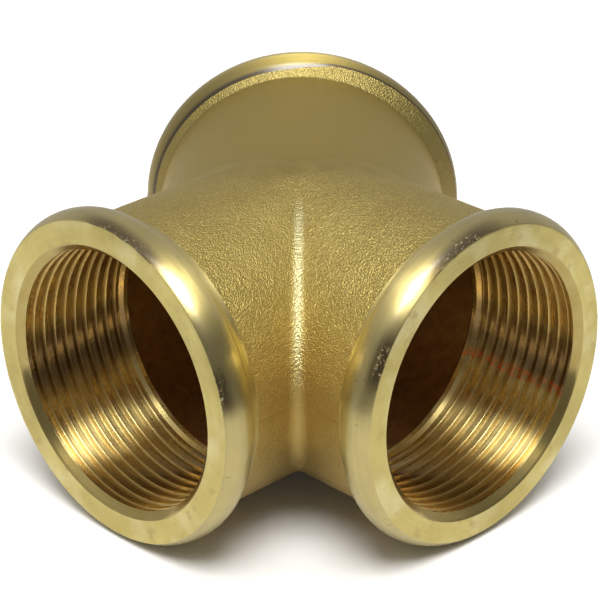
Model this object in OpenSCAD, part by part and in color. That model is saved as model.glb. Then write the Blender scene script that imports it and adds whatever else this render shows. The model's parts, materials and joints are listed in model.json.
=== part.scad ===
// Three-way brass pipe fitting in the shape of a flat Y, with a female parallel pipe thread
// of 1 1/2 inch nominal size in each port.
// It is one hot forging. Both front ports are square to each other, and the rear port lies on
// their bisector. +Y points out of the rear port, +Z is up, and the base of the three beads is
// at Z = 0. Each port is turned about its own axis: face, bead, chamfer and thread.

/* [Ports] */
// Angle between the two front ports
front_angle = 90; // [80:1:120]
// Junction to the face of each front port
front_reach = 44.5; // [42:0.5:60]
// Junction to the face of the rear port
rear_reach = 46.8; // [44:0.1:60]
// Outside radius of the three tubes
tube_r = 26.7; // [26:0.1:28]

/* [Collar] */
// Outside radius of the flat end face
face_r = 28.3; // [27.5:0.1:29]
// Largest radius of the turned bead
bead_r = 29.6; // [29.1:0.1:31]
// Depth of the bead's crown behind the end face
bead_depth = 3.4; // [2:0.1:4.5]
// Depth where the turned bead ends and the forged flank starts
turned_depth = 6.1; // [5:0.1:7]
// Depth where the flank meets the tube
collar_depth = 7.9; // [7.2:0.1:10]
// Radius of the bead where the flank starts
shoulder_r = 28.6; // [28:0.1:29]
// Steps in each quarter of the bead's curve
bead_steps = 5; // [3:1:12]

/* [Thread] */
// Radius at the thread's crests, which are cut back from the standard's 22.42
minor_r = 23.05; // [22.95:0.01:23.2]
// Radius at the thread's roots
major_r = 23.9; // [23.6:0.01:24]
// Axial pitch, 11 threads to the inch
pitch = 2.309; // [2.2:0.001:2.33]
// Number of full grooves
groove_count = 9; // [6:1:9]
// Width of the flat on each crest
crest_land = 1.3; // [1.1:0.05:1.4]
// Included angle of the thread form
flank_angle = 55; // [50:5:55]

/* [Bore] */
// Radius of the chamfer at the mouth
mouth_r = 24.3; // [24:0.1:25.5]
// Depth of the chamfer
mouth_depth = 1.2; // [0.8:0.1:1.4]
// Depth where the threaded bore ends and a cone narrows it to the lip
thread_end = 22.2; // [22:0.1:22.8]
// Radius of the lip at the bottom of the machined bore
lip_r = 22.42; // [22.2:0.01:22.5]
// Depth of the machined bore, from the end face
bore_depth = 23.7; // [23:0.1:26]
// Radius of the forged waterway inside the machined bores
waterway_r = 23.3; // [22.8:0.1:23.6]
// Axial length of the step from the machined bore to the waterway
step_len = 0.9; // [0.5:0.1:2]

/* [Hidden] */
$fn = 96;

// Angle of each front port away from the rear port
turn = 180 - front_angle / 2;
// Outline of the turned collar, as [radius, height] from the face back to the tube
function bead_front(h) = [for (i = [0:bead_steps]) let (t = 90 * i / bead_steps)
    [face_r + (bead_r - face_r) * sin(t), h - bead_depth * (1 - cos(t))]];
function bead_back(h) = [for (i = [1:bead_steps]) let (t = 90 * i / bead_steps)
    [shoulder_r + (bead_r - shoulder_r) * cos(t),
     h - bead_depth - (turned_depth - bead_depth) * sin(t)]];
function collar(h) = concat(bead_front(h), bead_back(h), [[tube_r, h - collar_depth]]);
// Box of the three ports about the junction, which puts the origin under the box's middle
side_y = max([for (p = collar(front_reach)) -p[1] * cos(turn) + p[0] * sin(turn)]);
mid_y = (rear_reach - side_y) / 2;
// Thread form: half widths of a groove at its mouth and at its root
groove_depth = major_r - minor_r;
flank_run = groove_depth * tan(flank_angle / 2);
groove_mouth = (pitch - crest_land) / 2;
groove_root = groove_mouth - flank_run;
// Depth of the first groove's centre, one crest land behind the chamfer
first_groove = mouth_depth + crest_land + groove_mouth;

// Aims a port that is modelled along +Z at an angle to +Y, about the vertical axis
module aim(angle) rotate([0, 0, angle]) rotate([-90, 0, 0]) children();

// Outside of one port, solid from the junction to its end face
module port_skin(h)
    rotate_extrude()
        polygon(concat([[0, h]], collar(h), [[tube_r, 0], [0, 0]]));

// One annular thread groove, whose centre is at height z
module groove(z)
    rotate_extrude()
        polygon([[minor_r - 1, z + groove_mouth], [minor_r, z + groove_mouth],
                 [major_r, z + groove_root], [major_r, z - groove_root],
                 [minor_r, z - groove_mouth], [minor_r - 1, z - groove_mouth]]);

// Everything that is bored out of one port: chamfer, threaded bore, 45 degree cone, lip,
// grooves and waterway
module port_bore(h) {
    chamfer_slope = (mouth_r - minor_r) / mouth_depth;
    rotate_extrude()
        polygon([[0, 0], [waterway_r, 0], [waterway_r, h - bore_depth - step_len],
                 [lip_r, h - bore_depth], [lip_r, h - thread_end - (minor_r - lip_r)],
                 [minor_r, h - thread_end], [minor_r, h - mouth_depth],
                 [mouth_r + chamfer_slope, h + 1], [0, h + 1]]);
    for (i = [0:groove_count - 1])
        groove(h - first_groove - i * pitch);
}

// Places a child for each port; the child reads $reach, the port's length from the junction
module ports() {
    for (side = [-1, 1])
        aim(side * turn) { $reach = front_reach; children(); }
    aim(0) { $reach = rear_reach; children(); }
}

module body()
    color("goldenrod")
        translate([0, -mid_y, bead_r])
            difference() {
                ports() port_skin($reach);
                ports() port_bore($reach);
            }

body();
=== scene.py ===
"""A forged brass Y-pattern pipe fitting with three threaded ports, on a pale floor."""
import json
import math
from types import SimpleNamespace

import bmesh
import bpy
import numpy as np
from mathutils import Matrix, Vector, noise


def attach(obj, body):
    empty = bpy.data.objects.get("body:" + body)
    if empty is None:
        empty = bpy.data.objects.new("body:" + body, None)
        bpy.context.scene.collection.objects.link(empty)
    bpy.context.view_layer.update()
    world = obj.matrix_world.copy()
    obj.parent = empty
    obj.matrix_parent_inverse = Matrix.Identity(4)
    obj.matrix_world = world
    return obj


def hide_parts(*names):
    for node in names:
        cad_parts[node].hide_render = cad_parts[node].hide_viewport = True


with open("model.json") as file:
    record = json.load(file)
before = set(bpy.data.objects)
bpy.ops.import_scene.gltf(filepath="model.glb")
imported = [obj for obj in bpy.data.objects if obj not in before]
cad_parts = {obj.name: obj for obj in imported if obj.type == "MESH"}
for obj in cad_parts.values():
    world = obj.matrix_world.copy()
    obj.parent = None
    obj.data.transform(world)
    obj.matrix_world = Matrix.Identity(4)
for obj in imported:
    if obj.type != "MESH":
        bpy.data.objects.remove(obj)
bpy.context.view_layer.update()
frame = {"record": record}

MM = 0.001
MOUNTS = {m["name"]: m for m in frame["record"]["mounts"]}
UP = np.array([0.0, 0.0, 1.0])

# Sizes in millimetres that the mounts do not give. They are the CAD part's own, except that
# each port's end face is turned to a slightly different radius.
TUBE_R = 26.7
FACE_R = {"left": 28.45, "right": 28.1, "rear": 28.3}
BEAD_R = 29.6
BEAD_DEPTH = 3.4
SHOULDER_R = 28.6
TURNED_DEPTH = 6.1
COLLAR_DEPTH = 7.9
MAJOR_R = 23.9
PITCH = 2.309
CREST_LAND = 1.3
MOUTH_R = 24.3
LIP_R = 22.42
BORE_DEPTH = 23.7
WATERWAY_R = 23.3
STEP_LEN = 0.9
FLANK_ANGLE = math.radians(55)  # included angle of the thread form

# Finishes, in the order of the fitting's material slots
SKIN, BEAD, FACE, CHAMFER, THREAD, WATERWAY = range(6)


# ---------------------------------------------------------------- ports

def find_junction():
    """Where the axes of the two front ports cross, in the plane of symmetry, in metres."""
    thread = MOUNTS["left_thread"]
    point, axis = np.array(thread["pos_m"]), np.array(thread["axis"])
    return point - axis * point[0] / axis[0]


JUNCTION = find_junction()


def read_port(name):
    """Axis, length and bore of one port, from its mounts; lengths are in millimetres."""
    thread, face = MOUNTS[name + "_thread"], MOUNTS[name + "_face"]
    axis = np.array(thread["axis"]) / np.linalg.norm(thread["axis"])
    reach = (np.array(face["pos_m"]) - JUNCTION) @ axis / MM
    middle = reach - (np.array(thread["pos_m"]) - JUNCTION) @ axis / MM
    half = thread["dims"]["length_mm"] / 2
    return {
        "name": name,
        "axis": axis,
        "across": np.cross(UP, axis),
        "reach": reach,
        "crest_r": thread["dims"]["r_mm"],
        "mouth_depth": middle - half,
        "thread_end": middle + half,
    }


def half_angle_cotangents(port):
    """Cotangent of half the angle to the neighbour on the port's +across and -across sides."""
    others = [p for p in PORTS if p is not port]
    cotangents = {}
    for sign in (1, -1):
        near = max(others, key=lambda p: sign * p["axis"] @ port["across"])
        cotangents[sign] = 1 / math.tan(math.acos(near["axis"] @ port["axis"]) / 2)
    return cotangents


PORTS = [read_port(name) for name in ("left", "right", "rear")]
for each in PORTS:
    each["cot"] = half_angle_cotangents(each)


# ---------------------------------------------------------------- rows, columns and grids

COLUMNS = 288
CROWDING = 0.62  # how much closer the columns stand beside the parting line


def column_angles():
    """Angles about a port's axis, crowded at the two sides and the same in every port."""
    t = 2 * np.pi * np.arange(COLUMNS) / COLUMNS
    return t - CROWDING / 2 * np.sin(2 * t)


PHI = column_angles()


def columns(depth, rho):
    """A row: its depth behind the end face and its radius, at every column."""
    return np.stack([depth + np.zeros(COLUMNS), rho + np.zeros(COLUMNS)])


def curve(a, b, c, steps):
    """Rows of a quadratic curve that starts at row a, heads for row b and ends at row c."""
    return [(1 - t) ** 2 * a + 2 * t * (1 - t) * b + t * t * c for t in np.linspace(0, 1, steps)]


def bisect(low, high, test):
    """Narrows every interval from low to high to where test stops being true; gives its low end."""
    for _ in range(45):
        mid = (low + high) / 2
        passed = test(mid)
        low, high = np.where(passed, mid, low), np.where(passed, high, mid)
    return low


def to_points(port, s, rho, phi):
    """Points at height s along a port's axis and radius rho, in millimetres, in the frame."""
    radial = np.cos(phi)[..., None] * port["across"] + np.sin(phi)[..., None] * UP
    return JUNCTION / MM + s[..., None] * port["axis"] + rho[..., None] * radial


class Builder:
    """Gathers grids of points for one mesh, whose shared edges are joined later."""

    def __init__(self):
        self.points, self.faces = [], []
        self.face_slots, self.point_slots = [], []
        self.turning, self.around = [], []
        self.count = 0

    def grid(self, port, s, rho, phi, slot, along, wrap=True):
        """Adds a grid of rows along a port's axis, with the finish slot.

        along is each row's length along the outline, and wrap closes the rows round the axis.
        """
        s, rho, phi = np.broadcast_arrays(s, rho, phi)
        rows, cols = s.shape
        along = np.broadcast_to(np.asarray(along, float).reshape(rows, -1), (rows, cols))
        index = self.count + np.arange(rows * cols).reshape(rows, cols)
        nxt = np.roll(index, -1, axis=1) if wrap else index[:, 1:]
        now = index if wrap else index[:, :-1]
        quads = np.stack([now[:-1], nxt[:-1], nxt[1:], now[1:]], -1).reshape(-1, 4)
        self.points.append(to_points(port, s, rho, phi).reshape(-1, 3))
        self.faces.append(quads)
        self.face_slots.append(np.full(len(quads), slot))
        self.turning.append(np.stack([np.cos(phi), np.sin(phi), along], -1).reshape(-1, 3))
        around = np.cos(phi)[..., None] * UP - np.sin(phi)[..., None] * port["across"]
        self.around.append(around.reshape(-1, 3))
        self.point_slots.append(np.full(rows * cols, slot))
        self.count += rows * cols


# ---------------------------------------------------------------- outside

BACK_HALF = 3.4  # half width of the ellipse at the back of the bead
BACK_DROP = (BEAD_R - SHOULDER_R) / (1 - math.sqrt(1 - ((TURNED_DEPTH - BEAD_DEPTH) / BACK_HALF) ** 2))
TUBE_ROWS = 42
TUBE_CROWDING = 1.7  # power that brings the tube's rows closer together towards the seams
FRONT_FULLNESS = 2.4  # power of the bead's front curve: 2 is a parabola, more is fuller
BEAD_EDGE = 0.08  # depth of the bead's first row behind the broken edge
FACE_BREAK = 0.06  # how far the end face's outer edge is broken
NECK_DEPTH = 6.58  # where the front beads' ellipse runs out into a hollow neck
NECK_BEND = 7.2  # where the lines along that neck's two ends cross
NECK_END = {"left": 8.9, "right": 8.3}  # where that neck meets the tube
TOOL_END = 6.8  # how deep the turning tool reached at the rear collar
TOOL_STEP = 0.02  # width of the step that it left there
FOOT_FILLET = 0.3  # between the rear collar's forged flank and its tube
OFF_CENTRE = (-0.04, 0.24, 0.35)  # the rear flank's offset: mean, size, and angle where it is largest


def bead_front(port, depth):
    """Radius of the turned bead between the end face and its crown."""
    face_r = FACE_R[port["name"]]
    return BEAD_R - (BEAD_R - face_r) * np.abs(1 - depth / BEAD_DEPTH) ** FRONT_FULLNESS


def bead_back(depth):
    """Radius of the turned bead behind its crown."""
    t = np.clip((depth - BEAD_DEPTH) / BACK_HALF, 0, 1)
    return BEAD_R - BACK_DROP * (1 - np.sqrt(1 - t * t))


def rear_tool(depth):
    """Radius that the tool left on the rear bead: the ellipse, then straight down to its end."""
    return np.where(depth < TURNED_DEPTH, bead_back(depth), SHOULDER_R - (depth - TURNED_DEPTH))


def rear_flank(depth):
    """Radius of the rear collar's forged flank, a little off the turned bead's centre."""
    mean, size, where = OFF_CENTRE
    top = SHOULDER_R + mean + size * np.cos(PHI - where)
    return TUBE_R + (top - TUBE_R) * (COLLAR_DEPTH - depth) / (COLLAR_DEPTH - TURNED_DEPTH)


# Depth at each column where the turned rear bead gives way to the forged flank
REAR_CUT = bisect(np.full(COLUMNS, BEAD_DEPTH + 0.3), np.full(COLUMNS, TOOL_END),
                  lambda depth: rear_tool(depth) < rear_flank(depth))


def seam_slope(port, phi):
    """Height of the seam with the neighbouring port, for each unit of radius."""
    c = np.cos(phi)
    return np.where(c > 0, c * port["cot"][1], -c * port["cot"][-1])


def turned_rows(port):
    """Rows of the turned outside, from the end face's edge to where the turning ends."""
    front = BEAD_EDGE + (BEAD_DEPTH - BEAD_EDGE) * (1 - np.cos(np.linspace(0, np.pi / 2, 10)))
    rows = [columns(0, FACE_R[port["name"]] - FACE_BREAK)]
    rows += [columns(depth, bead_front(port, depth)) for depth in front]
    share = np.sin(np.linspace(0, np.pi / 2, 12))[1:]
    if port["name"] == "rear":
        back = [BEAD_DEPTH + t * (REAR_CUT - BEAD_DEPTH) for t in share]
        return rows + [columns(depth, rear_tool(depth)) for depth in back]
    # The front collars are turned all over: the bead's back runs out into a hollow neck
    back = BEAD_DEPTH + share * (NECK_DEPTH - BEAD_DEPTH)
    rows += [columns(depth, bead_back(depth)) for depth in back]
    end = columns(NECK_END[port["name"]], TUBE_R)
    return rows + curve(rows[-1], columns(NECK_BEND, TUBE_R), end, 9)[1:]


def flank_rows(top):
    """Rows of the rear collar's forged flank, proud of the tool's end where that did not clear it."""
    start = columns(REAR_CUT + TOOL_STEP, np.maximum(rear_flank(REAR_CUT + TOOL_STEP), rear_tool(REAR_CUT)))
    bend = columns(COLLAR_DEPTH - FOOT_FILLET, rear_flank(COLLAR_DEPTH - FOOT_FILLET))
    knee, foot = columns(COLLAR_DEPTH, TUBE_R), columns(COLLAR_DEPTH + FOOT_FILLET, TUBE_R)
    rows = [top] + [start + (bend - start) * t for t in (0, 0.15, 0.35, 0.55, 0.8)]
    return rows + curve(bend, knee, foot, 5)


def add_rows(build, port, rows, slot):
    """Adds a grid from rows of depths and radii."""
    rows = np.array(rows)
    build.grid(port, port["reach"] - rows[:, 0], rows[:, 1], PHI, slot, rows[:, 0].mean(1))


def add_outside(build, port):
    """Turned bead, the rear collar's flank, and the tube back to the seams with its neighbours."""
    rows = turned_rows(port)
    add_rows(build, port, rows, BEAD)
    if port["name"] == "rear":
        rows = flank_rows(rows[-1])
        add_rows(build, port, rows, SKIN)
    top, seam = port["reach"] - rows[-1][0], seam_slope(port, PHI) * TUBE_R
    s = seam + (top - seam) * np.linspace(1, 0, TUBE_ROWS)[:, None] ** TUBE_CROWDING
    build.grid(port, s, TUBE_R, PHI, SKIN, (port["reach"] - s).mean(1))


# ---------------------------------------------------------------- inside

GROOVE_DEPTH = MAJOR_R - PORTS[0]["crest_r"]
FLANK_RUN = GROOVE_DEPTH * math.tan(FLANK_ANGLE / 2)
TURNS = 8  # of the full thread, between its start and its run-out
RUNOUT_AT = {"left": 215, "right": 250, "rear": 40}  # angle where each thread's groove dies out
MOUTH_BREAK = 0.05  # how far the edge between the end face and the chamfer is broken
# Where each surface starts in the length along the outline that the turning marks follow
CHAMFER_ALONG, PLAIN_ALONG, STEP_ALONG, WATERWAY_ALONG = 20, 40, 42, 44


def thread_outline():
    """One pitch of the thread, as rows of (distance along the axis, share of the full depth).

    The groove's mouth has a slight burr and its corners are rounded.
    """
    half, run = CREST_LAND / 2, FLANK_RUN
    rise = [(0, 0), (half - 0.16, 0.0), (half - 0.07, -0.02), (half, 0.015), (half + 0.05, 0.1),
            (half + 0.5 * run, 0.5), (half + run - 0.05, 0.92), (half + run + 0.02, 0.99)]
    fall = [(PITCH - x, max(y, 0.0)) for x, y in reversed(rise[1:])]
    return np.array(rise + [(PITCH / 2, 1.0)] + fall)


OUTLINE = thread_outline()


def ramp(x, low, high):
    """0 below low, 1 above high and a smooth rise between."""
    t = np.clip((x - low) / (high - low), 0, 1)
    return t * t * (3 - 2 * t)


def bore_outline(port):
    """Depths and radii of the bore without its thread and chamfer, from the mouth inwards."""
    crest, end = port["crest_r"], port["thread_end"]
    return [(0.0, crest), (end, crest), (end + crest - LIP_R, LIP_R), (BORE_DEPTH, LIP_R),
            (BORE_DEPTH + STEP_LEN, WATERWAY_R), (port["reach"] + 1, WATERWAY_R)]


SEAM_TOP = 30  # the bores' seams all lie lower than this along the ports' axes


def bore_seam(port, phi):
    """Height and radius at each angle where the bore or the waterway meets its neighbour's."""
    depths, radii = np.array(bore_outline(port)).T
    slope = seam_slope(port, phi)
    s = bisect(0 * phi, 0 * phi + SEAM_TOP,
               lambda height: height < slope * np.interp(port["reach"] - height, depths, radii))
    return s, np.interp(port["reach"] - s, depths, radii)


def add_trimmed(build, port, s, rho, phi, slot, along, wrap=True):
    """Adds a grid of the bore's wall, cut off where it meets the neighbouring port."""
    s, rho, phi = np.broadcast_arrays(s, rho, phi)
    s_end, rho_end = bore_seam(port, phi[0])
    gone = s < s_end
    build.grid(port, np.where(gone, s_end, s), np.where(gone, rho_end, rho), phi, slot, along, wrap)


def add_thread(build, port):
    """A right-hand helical groove, from the chamfer inwards; gives the height where it ends."""
    reach, crest = port["reach"], port["crest_r"]
    first = int(np.argmin(np.abs(PHI - math.radians(RUNOUT_AT[port["name"]]))))
    phi = np.concatenate([PHI[first:], PHI[:first] + 2 * np.pi, PHI[first:first + 1] + 2 * np.pi])
    turn = (phi - phi[0]) / (2 * np.pi)
    low = reach - port["mouth_depth"] - (TURNS + 1) * PITCH
    along = OUTLINE[:, 0] / PITCH
    deep = OUTLINE[:, 1] * GROOVE_DEPTH
    # Rows of the helical strip
    whole = np.concatenate([along + k for k in range(TURNS)] + [[TURNS]])
    rho = crest + np.concatenate([np.tile(deep, TURNS), [0]])[:, None]
    add_trimmed(build, port, low + PITCH * (whole[:, None] + turn), rho, phi, THREAD, PITCH * whole, False)
    # Run-out at the inner end and start at the mouth: one more pitch, closed to nothing
    share = np.concatenate([along, [1]])
    drop = np.concatenate([deep, [0]])
    rho = crest + drop[:, None] * ramp(turn, 0.12, 0.5)
    s = low + PITCH * share[:, None] * turn
    add_trimmed(build, port, s, rho, phi, THREAD, PITCH * share - PITCH, False)
    rho = crest + drop[:, None] * ramp(1 - turn, 0.0, 0.25)
    s = low + PITCH * (TURNS + 1 - (1 - share[:, None]) * (1 - turn))
    add_trimmed(build, port, s, rho, phi, THREAD, PITCH * (TURNS + share), False)
    return low


def add_inside(build, port):
    """End face, chamfer, thread, plain end of the bore with its lip, and waterway."""
    reach, crest = port["reach"], port["crest_r"]
    outer, mouth = FACE_R[port["name"]], port["mouth_depth"]
    # Rows close to the two broken edges keep the end face flat between them
    ring = np.linspace(outer - 0.25, MOUTH_R + 0.2, 5)
    ring = np.concatenate([[outer - FACE_BREAK], ring, [MOUTH_R + MOUTH_BREAK]])
    build.grid(port, reach, ring[:, None], PHI, FACE, ring)
    depth = np.array([0, 0.06, 0.4, 0.8, mouth])
    rho = MOUTH_R + (crest - MOUTH_R) * depth / mouth
    rho[0] += MOUTH_BREAK
    build.grid(port, (reach - depth)[:, None], rho[:, None], PHI, CHAMFER, CHAMFER_ALONG - depth)
    low = add_thread(build, port)
    # Plain end with one row halfway along it, lip, and the step to the waterway
    plain = np.array([(reach - low, crest)] + bore_outline(port)[1:5])
    plain = np.insert(plain, 1, (plain[0] + plain[1]) / 2, axis=0)
    bore, step = plain[:5], plain[4:]
    along = PLAIN_ALONG + bore[:, 0] / 5
    add_trimmed(build, port, reach - bore[:, :1], bore[:, 1:], PHI, THREAD, along)
    add_trimmed(build, port, reach - step[:, :1], step[:, 1:], PHI, WATERWAY, [STEP_ALONG, STEP_ALONG + 1])
    # Waterway, down to the seams
    start = reach - BORE_DEPTH - STEP_LEN
    s_end, rho_end = bore_seam(port, PHI)
    t = np.linspace(1, 0, 16)[:, None]
    s = s_end + (np.maximum(start, s_end) - s_end) * t
    rho = np.where(s_end > start, rho_end, WATERWAY_R)
    build.grid(port, s, rho, PHI, WATERWAY, WATERWAY_ALONG + 20 * (1 - t[:, 0]))


# ---------------------------------------------------------------- forged skin

# Pairs of ports, as indices into PORTS, and the reach of the fillet in the crease between them
CREASES = ((0, 1, 2.7), (0, 2, 6.0), (1, 2, 6.0))
SWELL = (0.07, 9.0)  # height and size of the forging's broad unevenness
RIPPLE = (0.035, 2.3)  # height and size of its fine unevenness
TUBE_TOLERANCE = 1e-4  # how close to a tube's radius its points are
PARTING_DEPTH, PARTING_WIDTH = 0.16, 0.2  # of the trimmed mark left by the dies' parting line


def off_axis(p, port):
    """Vectors to points from the nearest place on a port's axis."""
    return p - (p @ port["axis"])[:, None] * port["axis"]


def tube_field(p):
    """Signed distance to the union of the three tubes, with their creases filleted."""
    q = p - JUNCTION / MM
    dist, normal = [], []
    for port in PORTS:
        s = q @ port["axis"]
        radial = q - np.maximum(s, 0)[:, None] * port["axis"]
        size = np.linalg.norm(radial, axis=1)
        dist.append(size - TUBE_R)
        normal.append(radial / size[:, None])
    best = np.min(dist, axis=0)
    for a, b, crease in CREASES:
        width = crease * (1 - (normal[a] * normal[b]).sum(1)) + 1e-9
        near = np.clip(1 - np.abs(dist[a] - dist[b]) / width, 0, None)
        best = np.minimum(best, np.minimum(dist[a], dist[b]) - near ** 2 * width / 4)
    return best


def fillet_creases(p):
    """Moves points of the tubes onto the filleted surface."""
    step = 1e-3
    for _ in range(6):
        value = tube_field(p)
        slope = np.stack([tube_field(p + step * axis) - value for axis in np.eye(3)], -1) / step
        slope /= np.linalg.norm(slope, axis=1)[:, None]
        p = p - value[:, None] * slope
    return p


def rough_skin(p, normals, weight):
    """Shallow unevenness of the forging and the trimmed mark of the dies' parting line."""
    shift = np.zeros(len(p))
    for i in np.flatnonzero(weight):
        v = Vector(p[i])
        swell = SWELL[0] * noise.noise(v / SWELL[1])
        shift[i] = swell + RIPPLE[0] * noise.noise(v / RIPPLE[1] + Vector((7, 3, 1)))
    mark = PARTING_DEPTH * np.exp(-((p[:, 2] - JUNCTION[2] / MM) / PARTING_WIDTH) ** 2)
    wobble = 0.5 + 0.5 * np.sin(p[:, 0] * 0.9 + p[:, 1] * 0.7)
    shift -= mark * (0.6 + 0.4 * wobble)
    return p + (shift * weight)[:, None] * normals


def gather_mesh():
    """All the grids of the three ports as one mesh, with the attributes that turning marks follow."""
    build = Builder()
    for port in PORTS:
        add_outside(build, port)
        add_inside(build, port)
    points = np.concatenate(build.points)
    skin = np.concatenate(build.point_slots) == SKIN
    # Only the tubes are filleted into each other; the collars stay as turned
    q = points - JUNCTION / MM
    gaps = [np.abs(np.linalg.norm(off_axis(q, port), axis=1) - TUBE_R) for port in PORTS]
    on_tube = skin & (np.min(gaps, axis=0) < TUBE_TOLERANCE)
    points[on_tube] = fillet_creases(points[on_tube])
    mesh = bpy.data.meshes.new("fitting")
    mesh.from_pydata((points * MM).tolist(), [], np.concatenate(build.faces).tolist())
    mesh.polygons.foreach_set("material_index", np.concatenate(build.face_slots).astype(np.int32))
    for name, values in (("turning", build.turning), ("around", build.around)):
        attribute = mesh.attributes.new(name, "FLOAT_VECTOR", "POINT")
        attribute.data.foreach_set("vector", np.concatenate(values).astype(np.float32).ravel())
    return mesh


def join_and_roughen(mesh):
    """Joins the grids' edges into one closed surface and makes its forged skin uneven."""
    bm = bmesh.new()
    bm.from_mesh(mesh)
    bmesh.ops.remove_doubles(bm, verts=bm.verts, dist=2e-6)
    bmesh.ops.dissolve_degenerate(bm, edges=bm.edges, dist=1e-6)
    bmesh.ops.recalc_face_normals(bm, faces=bm.faces)
    open_edges = sum(1 for e in bm.edges if not e.is_manifold)
    volume = bm.calc_volume() / MM ** 3
    print(f"fitting: {len(bm.faces)} faces, {open_edges} open edges, volume {volume:.1f} mm3")
    bm.normal_update()
    # The skin's own points move; those that it shares with a turned surface stay
    skin_only = np.array([all(f.material_index == SKIN for f in v.link_faces) for v in bm.verts], float)
    coords = np.array([v.co for v in bm.verts]) / MM
    normals = np.array([v.normal for v in bm.verts])
    for vert, place in zip(bm.verts, rough_skin(coords, normals, skin_only) * MM):
        vert.co = place
    bm.normal_update()
    bm.to_mesh(mesh)
    bm.free()


def make_fitting():
    """The fitting, with no materials on it yet."""
    mesh = gather_mesh()
    join_and_roughen(mesh)
    mesh.polygons.foreach_set("use_smooth", np.ones(len(mesh.polygons), bool))
    mesh.set_sharp_from_angle(angle=math.radians(33))
    fitting = bpy.data.objects.new("fitting", mesh)
    bpy.context.scene.collection.objects.link(fitting)
    return fitting


# ---------------------------------------------------------------- materials

A_COLOUR, B_COLOUR, MIXED_COLOUR = 6, 7, 2  # the mix node's colour sockets, by their index


def new_material(name, metallic=1.0):
    """A material, its tree and its shader."""
    mat = bpy.data.materials.new(name)
    mat.use_nodes = True
    shader = mat.node_tree.nodes["Principled BSDF"]
    shader.inputs["Metallic"].default_value = metallic
    return mat, mat.node_tree, shader


def node(tree, kind, **settings):
    """A new node with some of its settings changed."""
    n = tree.nodes.new(kind)
    for key, value in settings.items():
        setattr(n, key, value)
    return n


def split(tree, vector):
    """The X, Y and Z of a vector."""
    parts = node(tree, "ShaderNodeSeparateXYZ")
    tree.links.new(vector, parts.inputs[0])
    return parts.outputs["X"], parts.outputs["Y"], parts.outputs["Z"]


def attribute_of(tree, name):
    """A vector that each of the mesh's points holds."""
    n = node(tree, "ShaderNodeAttribute", attribute_type="GEOMETRY", attribute_name=name)
    return n.outputs["Vector"]


def millimetres(tree):
    """Object coordinates in millimetres."""
    coords = node(tree, "ShaderNodeTexCoord")
    scale = node(tree, "ShaderNodeVectorMath", operation="SCALE")
    scale.inputs["Scale"].default_value = 1 / MM
    tree.links.new(coords.outputs["Object"], scale.inputs[0])
    return scale.outputs[0]


def noise_of(tree, vector, size, detail, rough):
    """Noise whose features are about the given size."""
    n = node(tree, "ShaderNodeTexNoise")
    n.inputs["Scale"].default_value = 1.0 / size
    n.inputs["Detail"].default_value = detail
    n.inputs["Roughness"].default_value = rough
    tree.links.new(vector, n.inputs["Vector"])
    return n.outputs["Fac"]


def remap_node(tree, value, low, high, to_low, to_high):
    """A node that takes low to to_low and high to to_high in a straight line, and clamps outside."""
    n = node(tree, "ShaderNodeMapRange")
    for key, v in (("From Min", low), ("From Max", high), ("To Min", to_low), ("To Max", to_high)):
        n.inputs[key].default_value = v
    tree.links.new(value, n.inputs["Value"])
    return n


def remap(tree, value, low, high, to_low, to_high):
    return remap_node(tree, value, low, high, to_low, to_high).outputs["Result"]


def mix_colour(tree, factor, first, second):
    """The first colour where factor is 0, and the second where it is 1."""
    n = node(tree, "ShaderNodeMix", data_type="RGBA")
    for socket, value in ((n.inputs[A_COLOUR], first), (n.inputs[B_COLOUR], second)):
        if isinstance(value, tuple):
            socket.default_value = (*value, 1)
        else:
            tree.links.new(value, socket)
    tree.links.new(factor, n.inputs["Factor"])
    return n.outputs[MIXED_COLOUR]


def smooth(tree, value, low, high, to_low=0.0, to_high=1.0):
    """Takes low to to_low and high to to_high in a smooth step; low may be above high."""
    n = remap_node(tree, value, low, high, to_low, to_high)
    n.interpolation_type = "SMOOTHSTEP"
    return n.outputs["Result"]


def arithmetic(tree, operation, a, b):
    """A sum on two values, each a socket or a float."""
    n = node(tree, "ShaderNodeMath", operation=operation)
    for socket, value in zip(n.inputs, (a, b)):
        if isinstance(value, float):
            socket.default_value = value
        else:
            tree.links.new(value, socket)
    return n.outputs[0]


def times(tree, a, b):
    return arithmetic(tree, "MULTIPLY", a, b)


def plus(tree, a, b):
    return arithmetic(tree, "ADD", a, b)


def ratio(tree, a, b):
    return arithmetic(tree, "DIVIDE", a, b)


def window(tree, value, low, high, soft):
    """1 between low and high, falling softly to 0 outside."""
    rise = smooth(tree, value, low - soft, low + soft)
    return times(tree, rise, smooth(tree, value, high + soft, high - soft))


def bump_of(tree, height, distance, under=None):
    """A bump of the given height in millimetres, on top of another where under gives one."""
    n = node(tree, "ShaderNodeBump")
    n.inputs["Strength"].default_value = 1.0
    n.inputs["Distance"].default_value = distance * MM
    tree.links.new(height, n.inputs["Height"])
    if under is not None:
        tree.links.new(under, n.inputs["Normal"])
    return n.outputs["Normal"]


def turning_vector(tree, around, along):
    """Coordinates that follow the turning: cosine and sine of the angle, and length along the outline."""
    scale = node(tree, "ShaderNodeVectorMath", operation="MULTIPLY")
    scale.inputs[1].default_value = (around, around, along)
    tree.links.new(attribute_of(tree, "turning"), scale.inputs[0])
    return scale.outputs[0]


def turning_depth(tree):
    """Length along the turned outline, in millimetres."""
    return split(tree, attribute_of(tree, "turning"))[2]


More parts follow.
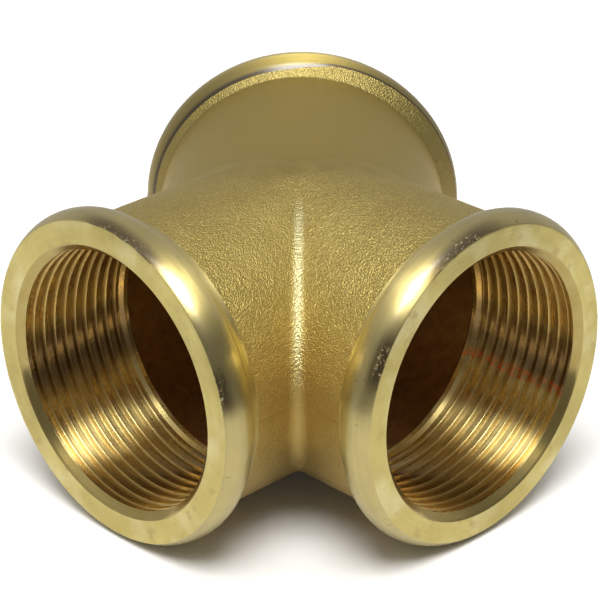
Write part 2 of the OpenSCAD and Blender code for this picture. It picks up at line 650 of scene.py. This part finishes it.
GRAIN = 0.14  # height of the blasted grain, in millimetres
GRAIN_SIZE, DIMPLE_SIZE, PIT_SIZE = 0.2, 0.33, 0.9  # in millimetres
REAR_GRAIN, LOW_GRAIN = 0.2, 0.45  # share of the grain left on the rear tube and low down
SKIN_COLOURS = ((0.45, 0.343, 0.102), (0.39, 0.287, 0.08))
GRAIN_COLOUR = (0.62, 0.50, 0.18)
REAR_COLOUR = (0.49, 0.375, 0.11)
# painted reflection of the floor: lighter, warmer skin low down
LOW_REFLECTION_COLOUR = (0.59, 0.41, 0.128)
# painted highlight: paler colour along the front crease
RUBBED_HIGHLIGHT_COLOUR = (0.62, 0.55, 0.28)
# painted shade at the bottom of the front crease
CROTCH_SHADE_COLOUR = (0.22, 0.165, 0.06)
# painted shade that darkens the rear collar's flank
FLANK_SHADE_COLOUR = (0.26, 0.22, 0.09)


def forged_skin():
    """Shot-blasted skin: coarse grain on the body's upper front, smoother on the rear tube and low down."""
    mat, tree, shader = new_material("forged_skin")
    where = millimetres(tree)
    x, y, z = split(tree, where)
    # Grain, dimples and pits of the blasting, and broad patches
    grain = noise_of(tree, where, GRAIN_SIZE, 1.0, 0.6)
    dimples = node(tree, "ShaderNodeTexVoronoi", feature="SMOOTH_F1")
    dimples.inputs["Scale"].default_value = 1 / DIMPLE_SIZE
    dimples.inputs["Smoothness"].default_value = 0.3
    tree.links.new(where, dimples.inputs["Vector"])
    pits = noise_of(tree, where, PIT_SIZE, 2.0, 0.6)
    broad = noise_of(tree, where, 7.0, 2.0, 0.5)
    # How coarse the blasting is: full on the upper front, weak on the rear tube, about half below
    # and on the rear collar's flank
    drift = remap(tree, broad, 0.3, 0.7, -2.5, 2.5)
    rear = smooth(tree, plus(tree, y, drift), -7.0, 4.0, 1.0, REAR_GRAIN)
    flank = smooth(tree, y, 40.0, 41.5, 0.0, 0.5)
    low = smooth(tree, plus(tree, z, drift), 27.0, 36.0, LOW_GRAIN, 1.0)
    coarse = times(tree, plus(tree, rear, flank), low)
    shade = mix_colour(tree, remap(tree, broad, 0.35, 0.65, 0, 1), *SKIN_COLOURS)
    speck = times(tree, remap(tree, grain, 0.42, 0.68, 0, 1), coarse)
    shade = mix_colour(tree, speck, shade, GRAIN_COLOUR)
    # Warmer on the rear tube, and lighter and warmer low down as a painted reflection of the floor
    warm = smooth(tree, y, -4.0, 16.0)
    shade = mix_colour(tree, times(tree, warm, 0.8), shade, REAR_COLOUR)
    warm = smooth(tree, plus(tree, z, drift), 46.0, 34.0)
    shade = mix_colour(tree, times(tree, warm, 0.7), shade, LOW_REFLECTION_COLOUR)
    # The front crease is worn smoother above the parting line, and its colour is painted paler there as a
    # highlight
    beside = arithmetic(tree, "ABSOLUTE", x, 0.0)
    rubbed_and_highlight = times(tree, smooth(tree, beside, 1.2, 0.2), smooth(tree, y, -8.0, -17.0))
    rubbed_and_highlight = times(tree, rubbed_and_highlight, smooth(tree, z, 29.0, 42.0))
    shade = mix_colour(tree, rubbed_and_highlight, shade, RUBBED_HIGHLIGHT_COLOUR)
    # Painted shade at the bottom of that crease, and painted shade that darkens the flank behind the rear
    # bead
    crotch_shade = times(tree, smooth(tree, beside, 11.0, 2.0), smooth(tree, z, 24.0, 6.0))
    shade = mix_colour(tree, times(tree, crotch_shade, 0.6), shade, CROTCH_SHADE_COLOUR)
    # painted shade on the rear collar's flank
    shade = mix_colour(tree, flank, shade, FLANK_SHADE_COLOUR)
    tree.links.new(shade, shader.inputs["Base Color"])
    # Roughness: 0.44 to 0.5 in patches, 0.34 where the crease is worn smooth
    blur = remap_node(tree, rubbed_and_highlight, 0, 1, 0, 0.34)
    tree.links.new(remap(tree, broad, 0.3, 0.7, 0.44, 0.5), blur.inputs["To Min"])
    tree.links.new(blur.outputs["Result"], shader.inputs["Roughness"])
    height = plus(tree, times(tree, dimples.outputs["Distance"], 0.7), grain)
    height = plus(tree, height, times(tree, pits, 1.1))
    normal = bump_of(tree, times(tree, height, coarse), GRAIN)
    tree.links.new(normal, shader.inputs["Normal"])
    return mat


def turned_metal(name, colour, worn, rough, ring_height, per_mm, spread=0.9):
    """Metal left by a turning tool: streaks around the axis and faint patches.

    The tool's fine grooves run around the axis, so they spread reflections across themselves.
    ring_height is in millimetres, per_mm is about how many rings there are in one. Returns the
    material's layers, which finish_metal() links to its shader.
    """
    mat, tree, shader = new_material(name)
    tree.links.new(attribute_of(tree, "around"), shader.inputs["Tangent"])
    shader.inputs["Anisotropic"].default_value = spread
    shader.inputs["Anisotropic Rotation"].default_value = 0.25
    where = millimetres(tree)
    patch = noise_of(tree, where, 6.0, 3.0, 0.6)
    streak = noise_of(tree, turning_vector(tree, 1.6, 2.2), 1.0, 3.0, 0.6)
    rings = noise_of(tree, turning_vector(tree, 1.0, per_mm), 1.0, 2.0, 0.5)
    shade = mix_colour(tree, remap(tree, patch, 0.35, 0.7, 0, 1), colour, worn)
    shade = mix_colour(tree, remap(tree, streak, 0.45, 0.7, 0, 0.6), shade, worn)
    blur = plus(tree, remap(tree, patch, 0.3, 0.7, rough * 0.85, rough * 1.15),
                remap(tree, streak, 0.4, 0.7, 0, rough * 0.25))
    normal = bump_of(tree, rings, ring_height)
    normal = bump_of(tree, streak, ring_height * 2.5, under=normal)
    normal = bump_of(tree, noise_of(tree, where, 0.5, 2.0, 0.5), ring_height * 0.5, under=normal)
    return SimpleNamespace(mat=mat, tree=tree, shader=shader, where=where, streak=streak,
                           shade=shade, blur=blur, normal=normal)


def stain(metal, amount, colour):
    """Covers a turned metal with a colour, by the amount at each place."""
    metal.shade = mix_colour(metal.tree, amount, metal.shade, colour)


def coat(metal, weight, rough, ior=1.5):
    """A thin polished film over a turned metal, which adds a white glint."""
    metal.shader.inputs["Coat Weight"].default_value = weight
    metal.shader.inputs["Coat Roughness"].default_value = rough
    metal.shader.inputs["Coat IOR"].default_value = ior


def finish_metal(metal):
    """Links a turned metal's layers to its shader and gives its material."""
    layers = (("Base Color", metal.shade), ("Roughness", metal.blur), ("Normal", metal.normal))
    for socket, layer in layers:
        metal.tree.links.new(layer, metal.shader.inputs[socket])
    return metal.mat


# Stretches of the beads that were knocked in handling: port, angle in degrees, length in millimetres
KNOCKS = (
    ("left", 80, 11.0),
    ("left", 18, 4.0),
    ("right", 106, 10.0),
    ("right", 152, 5.0),
    ("rear", 200, 6.0),
)


def knocked(tree, where, reach):
    """1 around the middle of each knocked stretch, falling to 0 at reach times its length away."""
    total = None
    for name, angle, length in KNOCKS:
        port = next(p for p in PORTS if p["name"] == name)
        spot = to_points(port, np.array(port["reach"] - 0.8), np.array(BEAD_R - 1), np.radians(angle))
        away = node(tree, "ShaderNodeVectorMath", operation="DISTANCE")
        tree.links.new(where, away.inputs[0])
        away.inputs[1].default_value = tuple(spot)
        near = smooth(tree, away.outputs["Value"], length * reach, length * reach * 0.3)
        total = near if total is None else arithmetic(tree, "MAXIMUM", total, near)
    return total


def turned_bead():
    """The beads: turned and polished, with stained and chipped stretches along the end face's edge."""
    metal = turned_metal("turned_bead", colour=(0.68, 0.555, 0.19), worn=(0.60, 0.49, 0.19),
                         rough=0.33, ring_height=0.003, per_mm=9.0)
    coat(metal, weight=0.75, rough=0.24, ior=1.75)
    tree, where, depth = metal.tree, metal.where, turning_depth(metal.tree)
    # Stains around the knocks
    stained = times(tree, knocked(tree, where, 1.3), smooth(tree, depth, 2.5, 0.7))
    stained = times(tree, stained, remap(tree, metal.streak, 0.3, 0.42, 0.3, 0.95))
    stain(metal, stained, (0.17, 0.11, 0.03))
    # Short scratches along the port's axis
    scratch = noise_of(tree, turning_vector(tree, 110.0, 0.8), 1.0, 0.0, 0.5)
    stain(metal, remap(tree, scratch, 0.81, 0.84, 0, 0.8), (0.2, 0.15, 0.07))
    # The back of the rear bead is rougher and its colour darkened as painted shade, with a painted shadow
    # where it meets the forged flank
    behind = smooth(tree, split(tree, where)[1], 30.0, 34.0)
    dull_and_shaded = times(tree, smooth(tree, depth, 3.0, 3.8), behind)
    # painted shade on the back of the rear bead; the added roughness below is real
    stain(metal, times(tree, dull_and_shaded, 0.85), (0.50, 0.395, 0.10))
    # painted shadow of the step where the turned band meets the forged flank
    stain(metal, times(tree, smooth(tree, depth, 5.3, 5.8), behind), (0.14, 0.10, 0.04))
    metal.blur = plus(tree, metal.blur, times(tree, dull_and_shaded, 0.3))
    # Chips
    chips = remap(tree, noise_of(tree, where, 0.5, 2.0, 0.6), 0.58, 0.66, 0, 1)
    chips = times(tree, chips, times(tree, knocked(tree, where, 0.7), smooth(tree, depth, 1.7, 0.2)))
    stain(metal, chips, (0.74, 0.65, 0.40))
    metal.normal = bump_of(tree, chips, -0.12, under=metal.normal)
    return finish_metal(metal)


def turned_face():
    """The end faces: turned, with pale and faintly brown stains."""
    metal = turned_metal("turned_face", colour=(0.78, 0.66, 0.25), worn=(0.70, 0.575, 0.20),
                         rough=0.30, ring_height=0.003, per_mm=11.0)
    tree, where = metal.tree, metal.where
    pale = noise_of(tree, where, 9.0, 2.0, 0.5)
    stain(metal, remap(tree, pale, 0.5, 0.66, 0, 0.7), (0.90, 0.80, 0.42))
    brown = noise_of(tree, where, 3.2, 3.0, 0.6)
    stain(metal, remap(tree, brown, 0.58, 0.72, 0, 0.45), (0.50, 0.36, 0.15))
    return finish_metal(metal)


def turned_chamfer():
    """The chamfers at the mouths: turned, darker and smoother than the end faces."""
    return finish_metal(turned_metal("chamfer", colour=(0.60, 0.48, 0.19), worn=(0.50, 0.37, 0.12),
                                     rough=0.17, ring_height=0.003, per_mm=11.0))


FLECK_ANGLE = math.radians(-25)  # about the right port's axis, where the copper flecks lie


def cut_thread():
    """The threads: a band of painted shade along the bores' sides, a painted highlight below it, copper
    flecks.
    """
    metal = turned_metal("cut_thread", colour=(0.68, 0.475, 0.145), worn=(0.57, 0.37, 0.095),
                         rough=0.265, ring_height=0.002, per_mm=14.0, spread=1.0)
    coat(metal, weight=0.6, rough=0.16)
    tree, where = metal.tree, metal.where
    x, y, z = split(tree, where)
    height = plus(tree, z, remap(tree, noise_of(tree, where, 5.0, 2.0, 0.5), 0.3, 0.7, -1.5, 1.5))
    # painted shade: a dark band along the bores' sides
    dark = times(tree, smooth(tree, height, 31.0, 26.5), smooth(tree, height, 17.5, 22.5))
    stain(metal, times(tree, dark, 0.75), (0.19, 0.10, 0.03))
    # painted highlight: a paler band below the dark one
    lit_band = times(tree, smooth(tree, height, 20.0, 16.0), smooth(tree, height, 7.0, 11.0))
    stain(metal, times(tree, lit_band, 0.8), (0.90, 0.73, 0.30))
    # Flecks in a line along the front right bore
    turning = node(tree, "ShaderNodeVectorMath", operation="DOT_PRODUCT")
    tree.links.new(turning_vector(tree, 1.0, 0.0), turning.inputs[0])
    turning.inputs[1].default_value = (math.cos(FLECK_ANGLE), math.sin(FLECK_ANGLE), 0)
    line = times(tree, smooth(tree, x, 0.0, 1.0), smooth(tree, y, 9.0, 7.0))
    line = times(tree, line, smooth(tree, turning.outputs["Value"], 0.9986, 0.9996))
    flecks = times(tree, line, remap(tree, noise_of(tree, where, 0.8, 2.0, 0.6), 0.46, 0.56, 0, 0.9))
    stain(metal, flecks, (0.86, 0.25, 0.06))
    return finish_metal(metal)


def waterway():
    """The forged waterway: dark, rough and brown."""
    mat, tree, shader = new_material("dark_waterway")
    where = millimetres(tree)
    patch = noise_of(tree, where, 2.0, 4.0, 0.6)
    shade = mix_colour(tree, remap(tree, patch, 0.3, 0.7, 0, 1), (0.30, 0.145, 0.035), (0.20, 0.09, 0.02))
    tree.links.new(shade, shader.inputs["Base Color"])
    shader.inputs["Roughness"].default_value = 0.5
    tree.links.new(bump_of(tree, noise_of(tree, where, 0.6, 3.0, 0.6), 0.1), shader.inputs["Normal"])
    return mat


# ---------------------------------------------------------------- scene

FLOOR_HALF = 2.5  # half the floor's width, in metres
TWIN_HEIGHT = 0.0002  # of the floor that the metal reflects, above the visible one
DARK_END = (0.5, -0.85)  # level direction of the dark end of the room, at the front right
NEAR_FLOOR = 0.63  # how pale the reflected floor is painted near the part, a painted pool of light
FAR_FLOOR = (0.38, 0.12)  # the same far off, at the back and at the front, painted darker as shade
ROOM, ROOM_FRONT = 0.45, 0.17  # brightness of the walls around the part
# Panels: extent across and towards the front for a height of 1, softness of the edge, brightness
PANELS = (
    ((-1.1, 0.7), (-0.1, 1.1), 0.4, 0.25),
    ((-0.29, 0.29), (0.22, 0.80), 0.08, 13.5),
)


def make_plane(name, height):
    """A level square, and the tree and shader of a plain dull material on it."""
    half = FLOOR_HALF
    mesh = bpy.data.meshes.new(name)
    corners = [(x * half, y * half, height) for x, y in ((-1, -1), (1, -1), (1, 1), (-1, 1))]
    mesh.from_pydata(corners, [], [(0, 1, 2, 3)])
    plane = bpy.data.objects.new(name, mesh)
    bpy.context.scene.collection.objects.link(plane)
    mat, tree, shader = new_material(name, 0.0)
    shader.inputs["Roughness"].default_value = 0.8
    shader.inputs["Specular IOR Level"].default_value = 0.1
    mesh.materials.append(mat)
    return plane, tree, shader


def facing_dark(tree, x, y):
    """How far a place or a direction lies towards the dark end of the room."""
    return plus(tree, times(tree, x, DARK_END[0]), times(tree, y, DARK_END[1]))


def make_floor():
    """The pale floor, and a darker twin of it that only the metal reflects, whose colour is a painted pool
    of light: pale nearby, dim further off.
    """
    floor, _, shader = make_plane("floor", 0.0)
    shader.inputs["Base Color"].default_value = (0.95, 0.95, 0.95, 1)
    floor.visible_glossy = False
    twin, tree, shader = make_plane("floor_reflected", TWIN_HEIGHT)
    for kind in ("camera", "diffuse", "shadow", "transmission"):
        setattr(twin, "visible_" + kind, False)
    where = node(tree, "ShaderNodeTexCoord").outputs["Object"]
    x, y, _ = split(tree, where)
    away = node(tree, "ShaderNodeVectorMath", operation="LENGTH")
    tree.links.new(where, away.inputs[0])
    # painted pool of light: pale near the part, darker far off, darkest towards the front right
    pale = remap_node(tree, smooth(tree, away.outputs["Value"], 0.15, 0.24), 0, 1, NEAR_FLOOR, 0)
    tree.links.new(smooth(tree, facing_dark(tree, x, y), -0.05, 0.15, *FAR_FLOOR), pale.inputs["To Max"])
    tree.links.new(pale.outputs["Result"], shader.inputs["Base Color"])


def make_world():
    """A pale studio: grey walls, dark towards the front right, a wide panel overhead with a bright core."""
    world = bpy.data.worlds.new("studio")
    world.use_nodes = True
    tree = world.node_tree
    x, y, z = split(tree, node(tree, "ShaderNodeTexCoord").outputs["Generated"])
    dark = times(tree, smooth(tree, facing_dark(tree, x, y), -0.1, 0.45), smooth(tree, z, 0.8, 0.55))
    light = remap(tree, dark, 0, 1, ROOM, ROOM_FRONT)
    # Panels, as windows on a level plane above the part, faded out towards the horizon
    height = arithmetic(tree, "MAXIMUM", z, 0.02)
    across = ratio(tree, x, height)
    ahead = times(tree, ratio(tree, y, height), -1.0)
    above = smooth(tree, z, 0.1, 0.3)
    for (left, right), (back, front), soft, bright in PANELS:
        inside = window(tree, across, left, right, soft)
        inside = times(tree, inside, window(tree, ahead, back, front, soft))
        light = plus(tree, light, times(tree, times(tree, inside, above), bright))
    background = tree.nodes["Background"]
    background.inputs["Color"].default_value = (1.0, 0.99, 0.97, 1)
    tree.links.new(light, background.inputs["Strength"])
    bpy.context.scene.world = world


def make_camera():
    """The view: a long lens aimed at the junction from the front, 26.5 degrees above the level."""
    azimuth, elevation, roll = (math.radians(a) for a in (-0.6, 26.5, -0.067))
    distance, lens = 0.463, 157.5  # metres to the junction, and the focal length in millimetres
    ahead = Vector((math.sin(azimuth) * math.cos(elevation),
                    math.cos(azimuth) * math.cos(elevation), -math.sin(elevation)))
    right = Vector((math.cos(azimuth), -math.sin(azimuth), 0))
    up = right.cross(ahead)
    side = math.cos(roll) * right + math.sin(roll) * up
    up = math.cos(roll) * up - math.sin(roll) * right
    camera = bpy.data.objects.new("camera", bpy.data.cameras.new("camera"))
    camera.data.sensor_width = 36
    camera.data.lens = lens
    camera.data.clip_start = 0.01
    turn = Matrix((side, up, -ahead)).transposed()
    camera.matrix_world = Matrix.Translation(Vector(JUNCTION) - distance * ahead) @ turn.to_4x4()
    bpy.context.scene.collection.objects.link(camera)
    bpy.context.scene.camera = camera


fitting = make_fitting()
finishes = (forged_skin(), turned_bead(), turned_face(), turned_chamfer(), cut_thread(), waterway())
for finish in finishes:
    fitting.data.materials.append(finish)
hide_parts("body")
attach(fitting, "root")

make_floor()
make_world()
make_camera()
bpy.context.scene.view_settings.view_transform = "Standard"
